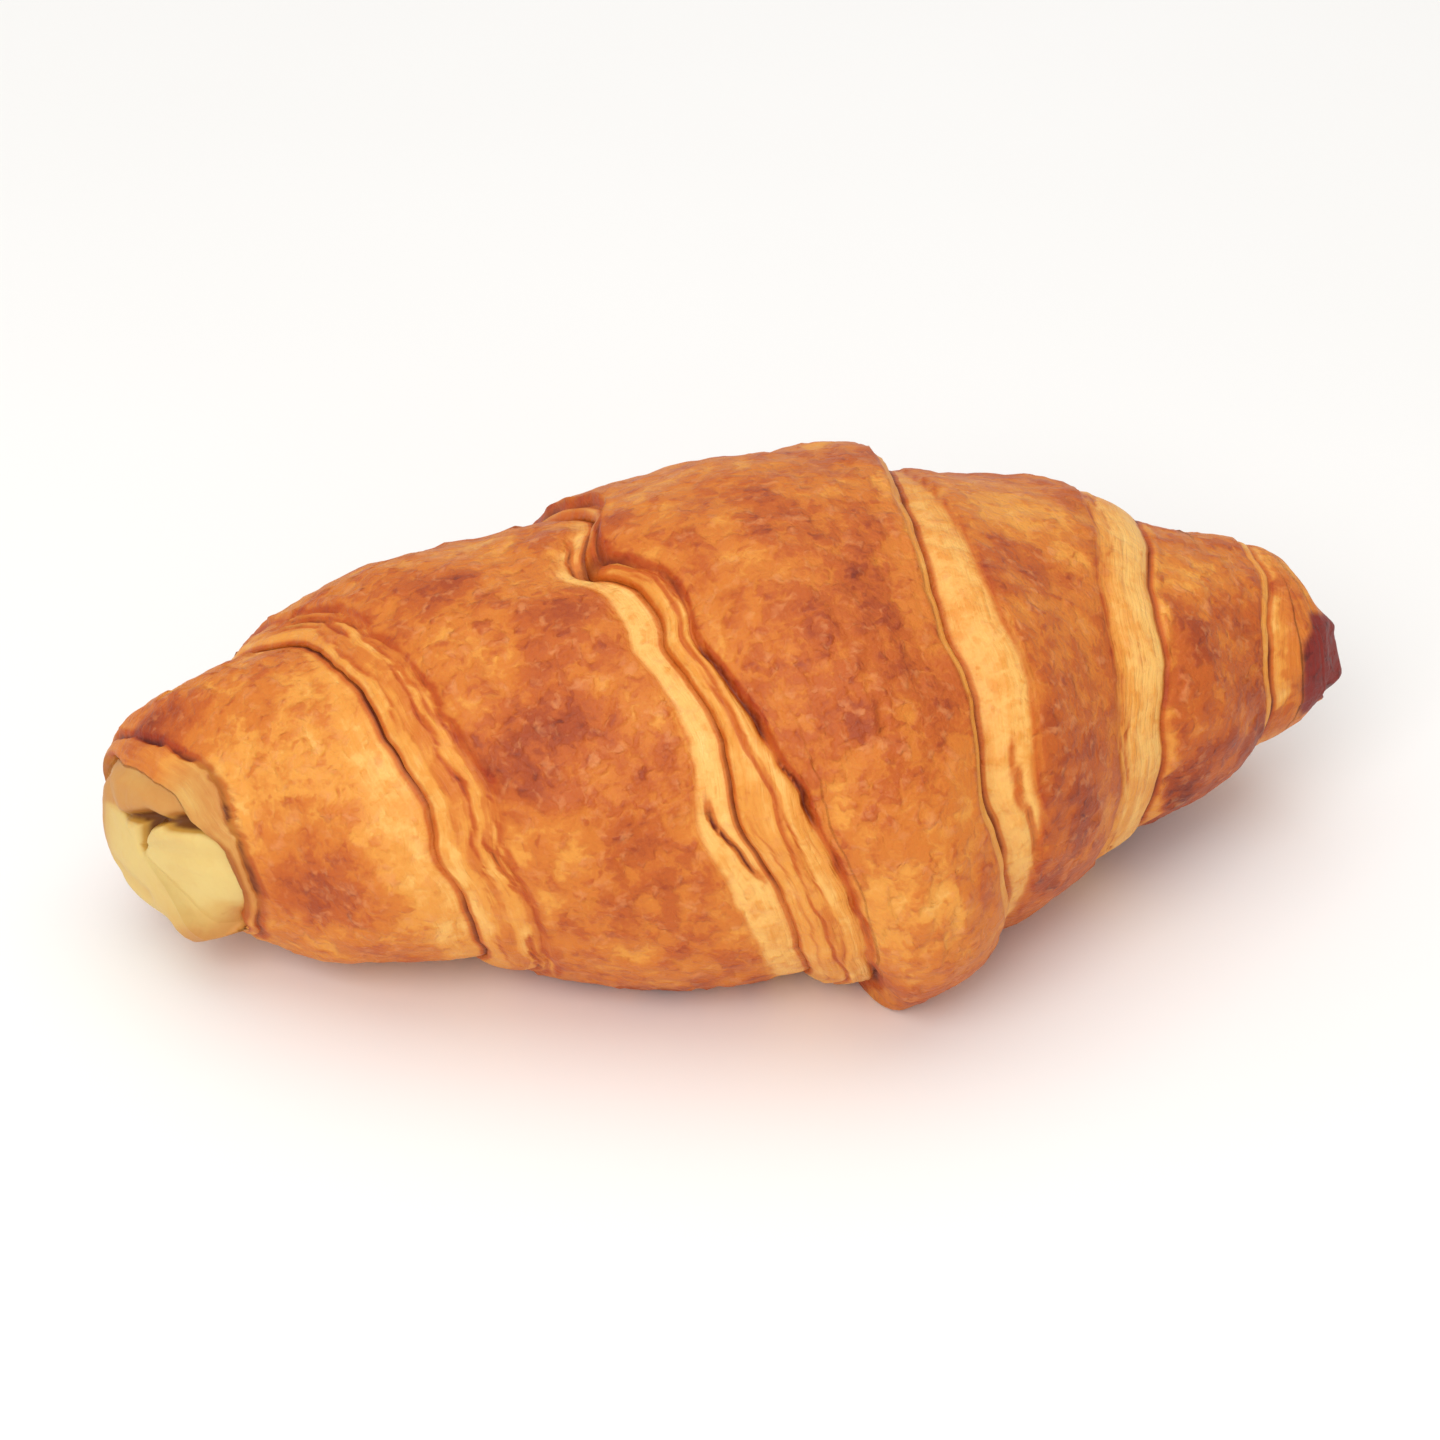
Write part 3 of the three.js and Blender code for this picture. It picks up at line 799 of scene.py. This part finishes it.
def close_end(rim, side, share_curve, relief):
    """Points of an end, in rings from its rim to its middle, pushed out along X."""
    middle = rim.mean(0)
    share = np.linspace(1, 0, END_RINGS + 2)[1:, None]
    away = (rim - middle)[None] * share[..., None]
    right, up = -away[..., 1], away[..., 2]
    settle = ease((1 - share) / RIM_SHARE)
    points = middle + away
    points[..., 0] += OUTWARD[side] * (share_curve(share) + settle * relief(right, up))
    if side == "left":
        points[..., 2] -= settle * ridge([FLAP], FLAP_DROP, FLAP_WIDTH, right, up)
    return points, right, up


def face_relief(right, up):
    """Relief of the left end: its fold, its flap, its slope and the pinch that shut it."""
    folds = sum(ridge([arm], rise, width, right, up) for arm, width, _, rise in FACE_FOLDS)
    flap = ridge([FLAP], FLAP_REACH, FLAP_WIDTH, right, up)
    pinch = ridge(PINCH_ARMS, PINCH_DEPTH, PINCH_WIDTH, right, up, PINCH_TAPER)
    return folds + flap - FACE_SLOPE * up - pinch


def knob_relief(right, up):
    """Relief of the right end: its burnt knob of two lobes, with crags."""
    upper = ridge(KNOB_ARMS, KNOB_HEIGHT, KNOB_WIDTH, right, up)
    lobes = np.maximum(upper, ridge(LOWER_KNOB, LOWER_HEIGHT, KNOB_WIDTH, right, up))
    crags = speckled(np.stack([right, up], -1), KNOB_CRAGS)
    return lobes + crags * ease(lobes / 1.5)


END_SHAPE = {
    "left": (curve(FACE_SHARE, FACE_REACH), face_relief),
    "right": (curve(KNOB_SHARE, KNOB_REACH), knob_relief),
}
bulge_top = curve(BULGE_RIGHT, BULGE_TOP)
USUAL_LIES = {"browning": 0, "fibrous": 0, "crease_shade": 0, "dough": 0, "fibre": 0}


def spread(lies, points):
    """Surface values in the full shape of their points; the fibre's have three numbers."""
    shapes = {name: points.shape if name == "fibre" else points.shape[:-1] for name in lies}
    return {name: np.broadcast_to(values, shapes[name]) for name, values in lies.items()}


class Skin:
    """Points, faces and surface values of the croissant while it is put together."""

    def __init__(self):
        self.plain = []
        self.points = []
        self.faces = []
        self.lies = {name: [] for name in USUAL_LIES}
        self.total = 0

    def add(self, plain, points, lies):
        """Adds points row by row, and returns the number of the first."""
        first = self.total
        self.plain.append(plain.reshape(-1, 3))
        self.points.append(points.reshape(-1, 3))
        for name, values in spread({**USUAL_LIES, **lies}, points).items():
            self.lies[name].append(values.reshape((-1, 3) if name == "fibre" else -1))
        self.total += points.size // 3
        return first

    def stacked(self):
        lies = {name: np.concatenate(parts) for name, parts in self.lies.items()}
        return np.concatenate(self.plain), np.concatenate(self.points), np.concatenate(self.faces), lies


def roll_sheet():
    """Both halves of the sheet, which share the middle line of the outermost turn."""
    skin = Skin()
    halves = {side: band(side) for side in SIDES}
    tip = skin_point(np.array([EDGE["left"][0]]), TIP_TURN, 0)
    skin.add(tip, tip, {"browning": 0.5})
    first = add_part(skin, halves["left"], np.s_[: TURN_ROWS - 1, 0])
    middle = first + np.arange(TURN_ROWS - 1)
    grids = {}
    for side in SIDES:
        first = add_part(skin, halves[side], np.s_[:, 1:])
        grids[side] = index_grid(side, first, middle)
        skin.faces.append(strip_faces(grids[side][:-1], grids[side][1:], side == "left"))
    return skin, grids


def add_part(skin, half, part):
    """Adds rows and columns of one half of the sheet, and returns the number of the first."""
    lies = {name: values[part] for name, values in spread(half["lies"], half["points"]).items()}
    return skin.add(half["plain"][part], half["points"][part], lies)


def face_lies(right, up, points):
    """Bare dough of the left end: a cream bulge, tan where it was pinched shut and at its rim."""
    tan = FACE_TAN * ease((up - bulge_top(right)) / 1.2 + 0.3)
    tone = FACE_TONE + tan + speckled(points, FACE_SPECKLE)
    # Painted shade in the groove of the pinch
    crease_shade = clamp(ridge(PINCH_ARMS, *PINCH_SHADE, right, up, PINCH_TAPER))
    for arm, width, brown, _ in FACE_FOLDS:
        tone = mix(tone, np.maximum(tone, brown), ridge([arm], 1, width, right, up))
    tone = mix(tone, FLAP_BROWN, ridge([FLAP], 1, 0.8 * FLAP_WIDTH, right, up))
    return {"dough": 1, "crease_shade": crease_shade, "browning": tone}


def end_lies(side, right, up, points, rim):
    """Surface values of an end: bare dough with painted shade in its creases on the left, crust on the
    right.
    """
    if side == "right":
        return {"browning": END_BROWN + speckled(points, END_SPECKLE)}
    lies = face_lies(right, up, points)
    turn = TIP_TURN + 360 * (TURNS[side] - 1 + np.arange(1, TURN_ROWS + 1) / TURN_ROWS)
    # Painted shade in the crevice inside the rim, where the rim has not grown into the face
    crevice = (1 - grown_in(side, turn)) * bump(np.linalg.norm(points - rim, axis=-1), RIM_CREVICE_SHADE)
    lies["crease_shade"] = np.maximum(lies["crease_shade"], crevice)
    return lies


def add_end(skin, grid, side):
    """Closes an end with rings of faces and a fan of triangles round its middle."""
    points = np.concatenate(skin.points)
    rim = grid[-TURN_ROWS:, -1]
    rings, right, up = close_end(points[rim], side, *END_SHAPE[side])
    lies = spread({**end_lies(side, right, up, rings, points[rim]), "fibre": rings}, rings)
    parts = []
    for part in (np.s_[:-1], np.s_[-1:, :1]):
        cut = {name: values[part] for name, values in lies.items()}
        parts.append(skin.add(rings[part], rings[part], cut))
    first, last = parts
    loops = np.concatenate([rim[None], first + np.arange(END_RINGS * TURN_ROWS).reshape(-1, TURN_ROWS)])
    closed = np.concatenate([loops, loops[:, :1]], 1)
    skin.faces.append(strip_faces(closed[:-1], closed[1:], side == "right"))
    ring, following = closed[-1, :-1], closed[-1, 1:]
    if side == "right":
        ring, following = following, ring
    skin.faces.append(np.stack([np.full_like(ring, last), ring, following, following], -1))


def scene_object(name, data):
    made = bpy.data.objects.new(name, data)
    bpy.context.scene.collection.objects.link(made)
    return made


def add_values(mesh, lies):
    for name, values in lies.items():
        vector = values.ndim == 2
        attribute = mesh.attributes.new(name, "FLOAT_VECTOR" if vector else "FLOAT", "POINT")
        attribute.data.foreach_set("vector" if vector else "value", values.astype(np.float32).ravel())


def mesh_object(name, points, faces, lies):
    """A smooth mesh object from points in millimetres, without doubled corners in its faces."""
    mesh = bpy.data.meshes.new(name)
    clean = [tuple(dict.fromkeys(face)) for face in faces.tolist()]
    mesh.from_pydata((points * MM).tolist(), [], [face for face in clean if len(face) > 2])
    add_values(mesh, lies)
    mesh.shade_smooth()
    return scene_object(name, mesh)


def burnt_share(points):
    """How burnt the skin is: wholly on the knob at the right tip."""
    tip = points[points[:, 0].argmax()]
    gap = np.linalg.norm((points - tip - KNOB_BURN_FROM) / KNOB_BURN_SIZE, axis=-1)
    return ease((1 - gap + speckled(points, BURN_SPECKLE)) / 0.2 + 0.5)


def frame_shift(plain):
    """What moves the rolled shape, in its own millimetres, onto the place of the part."""
    low, high = (np.array(corner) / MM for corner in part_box("croissant"))
    shift = 0.5 * (low + high) - 0.5 * (plain.min(0) + plain.max(0))
    shift[2] = 0
    return shift


def build_croissant():
    skin, grids = roll_sheet()
    for side in SIDES:
        add_end(skin, grids[side], side)
    plain, points, faces, lies = skin.stacked()
    lies["burnt"] = burnt_share(points)
    shift = frame_shift(plain)
    return mesh_object("croissant_crust", points + shift, faces, lies), shift


# Materials
def node(tree, kind, sockets=None, **settings):
    """A shader node with its settings; a socket takes either a value or a link."""
    made = tree.nodes.new(kind)
    for name, value in settings.items():
        setattr(made, name, value)
    for key, value in (sockets or {}).items():
        if isinstance(value, bpy.types.NodeSocket):
            tree.links.new(value, made.inputs[key])
        else:
            made.inputs[key].default_value = value
    return made


def maths(tree, operation, *values, clamped=False):
    sockets = dict(enumerate(values))
    return node(tree, "ShaderNodeMath", sockets, operation=operation, use_clamp=clamped).outputs[0]


def vector_maths(tree, operation, places, other):
    sockets = {0: places, 3 if operation == "SCALE" else 1: other}
    return node(tree, "ShaderNodeVectorMath", sockets, operation=operation).outputs[0]


def weighted_sum(tree, values, weights):
    """The sum of the named values, each times its own weight."""
    total = 0.0
    for name, weight in weights.items():
        total = maths(tree, "MULTIPLY_ADD", values[name], weight, total)
    return total


def scaled(tree, value, from_low, from_high, to_low, to_high):
    sockets = {0: value, 1: from_low, 2: from_high, 3: to_low, 4: to_high}
    return node(tree, "ShaderNodeMapRange", sockets).outputs[0]


def blended(tree, share, first, second, blend_type="MIX"):
    sockets = {0: share, 6: first, 7: second}
    return node(tree, "ShaderNodeMix", sockets, data_type="RGBA", blend_type=blend_type).outputs[2]


def noise(tree, places, size, detail, roughness):
    sockets = {"Vector": places, "Scale": 1 / size, "Detail": detail, "Roughness": roughness}
    return node(tree, "ShaderNodeTexNoise", sockets).outputs["Fac"]


def noise_between(tree, places, size, detail, roughness, low, high, least):
    """Noise of a size, stretched so that low and high become the least value and 1."""
    return scaled(tree, noise(tree, places, size, detail, roughness), low, high, least, 1)


def given(tree, name, output="Fac"):
    return node(tree, "ShaderNodeAttribute", attribute_name=name).outputs[output]


def linear(colour):
    """A colour given as the 0 to 255 numbers of a screen, none of them under 11."""
    return [*(((channel / 255 + 0.055) / 1.055) ** 2.4 for channel in colour), 1]


def ramp(tree, value, stops):
    made = node(tree, "ShaderNodeValToRGB", {0: value})
    band_of = made.color_ramp
    band_of.interpolation = "EASE"
    while len(band_of.elements) < len(stops):
        band_of.elements.new(0.5)
    for element, (place, colour) in zip(band_of.elements, stops):
        element.position = place
        element.color = linear(colour)
    return made.outputs["Color"]


def effect_group(name, inputs, outputs):
    """A node group with named inputs and number outputs, and the sockets of its two ends."""
    tree = bpy.data.node_groups.new(name, "ShaderNodeTree")
    for label, kind in inputs.items():
        tree.interface.new_socket(name=label, in_out="INPUT", socket_type=kind)
    for label in outputs:
        tree.interface.new_socket(name=label, in_out="OUTPUT", socket_type="NodeSocketFloat")
    start = tree.nodes.new("NodeGroupInput")
    end = tree.nodes.new("NodeGroupOutput")
    return tree, start.outputs, end.inputs


# Marks of baked dough: size in mm, detail, roughness, and what noise becomes the least value and 1
MOTTLE = {
    "broad": (4.5, 3, 0.55, 0.3, 0.7, -1),
    "patches": (2.2, 2, 0.5, 0.38, 0.62, -1),
    "spots": (1.5, 1, 0.5, 0.57, 0.78, 0),
    "flecks": (1.6, 2, 0.5, 0.56, 0.74, 0),
    "fine": (0.5, 2, 0.6, 0.3, 0.7, -1),
}
MOTTLE_TONE = {"broad": 0.06, "patches": 0.05, "spots": 0.14, "fine": 0.025}
MOTTLE_HEIGHT = {"broad": 0.12, "patches": 0.08, "spots": 0.1, "flecks": 0.08, "fine": 0.02}
SWIRL_SCALE = 0.5
SWIRL_PUSH = 2.0
FLECKS_ASIDE = (31.0, 17.0, 5.0)
FIBRES = {"coarse": (0.9, 2, 0.6, 0.32, 0.68, -1), "fine": (0.35, 2, 0.6, 0.32, 0.68, -1)}
FIBRE_SHARE = {"coarse": 0.6, "fine": 0.4}
FIBRE_STRETCH = (1.0, 0.09, 1.0)
FIBRE_TONE = 0.07
FIBRE_HEIGHT = 0.08


def oven_mottle():
    """Patches, dark blisters and light flecks of baked dough: their tone, flecks and height in mm."""
    tree, given_in, put_out = effect_group(
        "oven_mottle",
        {"Places": "NodeSocketVector"},
        ["Tone", "Flecks", "Height"],
    )
    places = given_in["Places"]
    swirl = node(tree, "ShaderNodeTexNoise", {"Vector": places, "Scale": SWIRL_SCALE, "Detail": 2.0})
    bent = vector_maths(tree, "ADD", places, vector_maths(tree, "SCALE", swirl.outputs["Color"], SWIRL_PUSH))
    lie_on = {"flecks": vector_maths(tree, "ADD", bent, FLECKS_ASIDE), "fine": places}
    made = {name: noise_between(tree, lie_on.get(name, bent), *values) for name, values in MOTTLE.items()}
    tree.links.new(weighted_sum(tree, made, MOTTLE_TONE), put_out["Tone"])
    tree.links.new(made["flecks"], put_out["Flecks"])
    tree.links.new(weighted_sum(tree, made, MOTTLE_HEIGHT), put_out["Height"])
    return tree


def dough_fibres():
    """Thin streaks that run along the bands, as a tone and as a height in mm."""
    tree, given_in, put_out = effect_group(
        "dough_fibres",
        {"Fibre": "NodeSocketVector", "Amount": "NodeSocketFloat"},
        ["Tone", "Height"],
    )
    stretched = vector_maths(tree, "MULTIPLY", given_in["Fibre"], FIBRE_STRETCH)
    made = {name: noise_between(tree, stretched, *values) for name, values in FIBRES.items()}
    lines = maths(tree, "MULTIPLY", weighted_sum(tree, made, FIBRE_SHARE), given_in["Amount"])
    tree.links.new(maths(tree, "MULTIPLY", lines, FIBRE_TONE), put_out["Tone"])
    tree.links.new(maths(tree, "MULTIPLY", lines, FIBRE_HEIGHT), put_out["Height"])
    return tree


OVEN_MOTTLE = oven_mottle()
DOUGH_FIBRES = dough_fibres()

CRUST_TONES = [
    (0.0, (248, 212, 134)),
    (0.18, (244, 186, 100)),
    (0.36, (230, 152, 62)),
    (0.52, (211, 119, 40)),
    (0.66, (192, 93, 30)),
    (0.8, (166, 70, 25)),
    (1.0, (114, 36, 18)),
]
DOUGH_TONES = [(0.0, (226, 198, 124)), (0.25, (216, 174, 98)), (0.5, (200, 138, 70)), (0.8, (156, 80, 32))]
FLECK_COLOUR = (226, 146, 88)
# Painted shade: what the colour is multiplied by, from no crease to the deepest, on crust and on bare dough
CREASE_SHADE = [(0.0, (255, 255, 255)), (0.35, (224, 172, 132)), (1.0, (118, 58, 26))]
DOUGH_CREASE_SHADE = [(0.0, (255, 255, 255)), (0.35, (216, 186, 120)), (1.0, (126, 82, 20))]
BURNT_TONES = [(0.0, (132, 40, 32)), (0.2, (84, 20, 20))]
FLECK_SHARE = 0.5
FIBROUS_CALM = 0.6
LEAST_MOTTLE = 0.2
ROUGH_RANGE = (-0.15, 0.2, 0.6, 0.42)
CRUST_FINISH = {
    "Specular IOR Level": 0.3,
    "Subsurface Weight": 0.12,
    "Subsurface Radius": (1.0, 0.45, 0.2),
    "Subsurface Scale": 0.0015,
}


def effect(tree, group, sockets):
    return node(tree, "ShaderNodeGroup", sockets, node_tree=group).outputs


def new_material(name):
    material = bpy.data.materials.new(name)
    material.use_nodes = True
    tree = material.node_tree
    tree.nodes.clear()
    return material, tree


def finish_surface(tree, colour, roughness, height, settings):
    """A Principled surface whose colour, roughness and fine relief, in mm, come from nodes."""
    bump_node = node(tree, "ShaderNodeBump", {"Strength": 1.0, "Distance": MM, "Height": height})
    sockets = {"Base Color": colour, "Roughness": roughness, "Normal": bump_node.outputs[0], **settings}
    shader = node(tree, "ShaderNodeBsdfPrincipled", sockets)
    node(tree, "ShaderNodeOutputMaterial", {"Surface": shader.outputs[0]})


def object_places(tree):
    """Places on the piece in millimetres, which stay with it as it moves."""
    return vector_maths(tree, "SCALE", node(tree, "ShaderNodeTexCoord").outputs["Object"], 1 / MM)


def baked_crust():
    """Browned crust with its pale margins, layered cut edges, bare dough end, burnt knob and painted shade
    in its creases.
    """
    material, tree = new_material("baked_crust")
    dough, fibrous, crease_shade = (given(tree, name) for name in ("dough", "fibrous", "crease_shade"))
    mottle = effect(tree, OVEN_MOTTLE, {"Places": object_places(tree)})
    fibres = effect(tree, DOUGH_FIBRES, {"Fibre": given(tree, "fibre", "Vector"), "Amount": fibrous})
    calm = scaled(tree, maths(tree, "MULTIPLY_ADD", fibrous, FIBROUS_CALM, dough), 0, 1, 1, LEAST_MOTTLE)
    tone = maths(tree, "MULTIPLY_ADD", mottle["Tone"], calm, given(tree, "browning"))
    tone = maths(tree, "ADD", tone, fibres["Tone"], clamped=True)
    flecks = maths(tree, "MULTIPLY", maths(tree, "MULTIPLY", mottle["Flecks"], calm), FLECK_SHARE)
    colour = blended(tree, flecks, ramp(tree, tone, CRUST_TONES), linear(FLECK_COLOUR))
    colour = blended(tree, dough, colour, ramp(tree, tone, DOUGH_TONES))
    # Painted shade in the creases darkens the colour
    shade = blended(tree, dough, ramp(tree, crease_shade, CREASE_SHADE), ramp(tree, crease_shade, DOUGH_CREASE_SHADE))
    colour = blended(tree, 1.0, colour, shade, "MULTIPLY")
    colour = blended(tree, given(tree, "burnt"), colour, ramp(tree, mottle["Tone"], BURNT_TONES))
    rough = scaled(tree, mottle["Tone"], *ROUGH_RANGE)
    height = maths(tree, "MULTIPLY_ADD", mottle["Height"], calm, fibres["Height"])
    finish_surface(tree, colour, rough, height, CRUST_FINISH)
    return material


# Setting: the camera in degrees and metres, a point in millimetres and the pixel that shows it
CAMERA_TURN = -15
CAMERA_HEIGHT = 35
CAMERA_DISTANCE = 0.43
AXIS_POINT = (0.0, 0.0, 27.0)
IMAGE_SIZE = 1440
AXIS_PIXEL = (850, 717)
PIXELS_PER_MM = 8.77
FOCAL_PIXELS = PIXELS_PER_MM * CAMERA_DISTANCE / MM
SENSOR = 36
TABLE_HALF = 4.0
TABLE_TONES = [(0.3, (246, 245, 243)), (0.7, (250, 249, 248))]
ROOM_COLOUR = (1.0, 0.99, 0.97, 1)
ROOM_LIGHT = 0.6
LAMPS = [("window_left", (-0.42, -0.62, 0.72), 0.6, 4.7), ("ceiling", (0.1, 0.1, 1.8), 2.0, 12.2)]


def camera_axes():
    turn, height = math.radians(CAMERA_TURN), math.radians(CAMERA_HEIGHT)
    back = Vector((math.sin(turn) * math.cos(height), -math.cos(turn) * math.cos(height), math.sin(height)))
    right = Vector((math.cos(turn), math.sin(turn), 0))
    return right, back.cross(right), back


def set_camera(shift):
    """A camera where the photograph was taken from, turned to the middle of the picture."""
    right, up, back = camera_axes()
    middle = IMAGE_SIZE / 2
    off_right = (middle - AXIS_PIXEL[0]) / FOCAL_PIXELS
    off_up = (AXIS_PIXEL[1] - middle) / FOCAL_PIXELS
    look = off_right * right + off_up * up - back
    data = bpy.data.cameras.new("photo_view")
    data.sensor_width = SENSOR
    data.lens = FOCAL_PIXELS * SENSOR / IMAGE_SIZE
    camera = scene_object("photo_view", data)
    camera.location = (Vector(AXIS_POINT) + Vector(shift)) * MM + CAMERA_DISTANCE * back
    camera.rotation_euler = look.to_track_quat("-Z", "Y").to_euler()
    bpy.context.scene.camera = camera


def pale_table():
    material, tree = new_material("pale_table")
    cloud = noise(tree, node(tree, "ShaderNodeTexCoord").outputs["Object"], 0.4, 4, 0.5)
    rough = scaled(tree, cloud, 0, 1, 0.6, 0.7)
    finish_surface(tree, ramp(tree, cloud, TABLE_TONES), rough, maths(tree, "MULTIPLY", cloud, 0.05), {})
    return material


def lay_floor():
    mesh = bpy.data.meshes.new("table_top")
    corners = [(-1, -1), (1, -1), (1, 1), (-1, 1)]
    mesh.from_pydata([(TABLE_HALF * x, TABLE_HALF * y, 0) for x, y in corners], [], [(0, 1, 2, 3)])
    mesh.materials.append(pale_table())
    scene_object("table_top", mesh)


def soft_light(name, place, size, power):
    """A square lamp that faces the croissant."""
    data = bpy.data.lights.new(name, "AREA")
    data.size = size
    data.energy = power
    lamp = scene_object(name, data)
    lamp.location = place
    lamp.rotation_euler = (-Vector(place)).to_track_quat("-Z", "Y").to_euler()


def light_studio():
    world = bpy.data.worlds.new("soft_room")
    world.use_nodes = True
    background = world.node_tree.nodes["Background"]
    background.inputs["Color"].default_value = ROOM_COLOUR
    background.inputs["Strength"].default_value = ROOM_LIGHT
    bpy.context.scene.world = world
    for lamp in LAMPS:
        soft_light(*lamp)
    bpy.context.scene.view_settings.view_transform = "Standard"


croissant, part_shift = build_croissant()
croissant.data.materials.append(baked_crust())
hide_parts("croissant")
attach(croissant, "root")

lay_floor()
light_studio()
set_camera(part_shift)
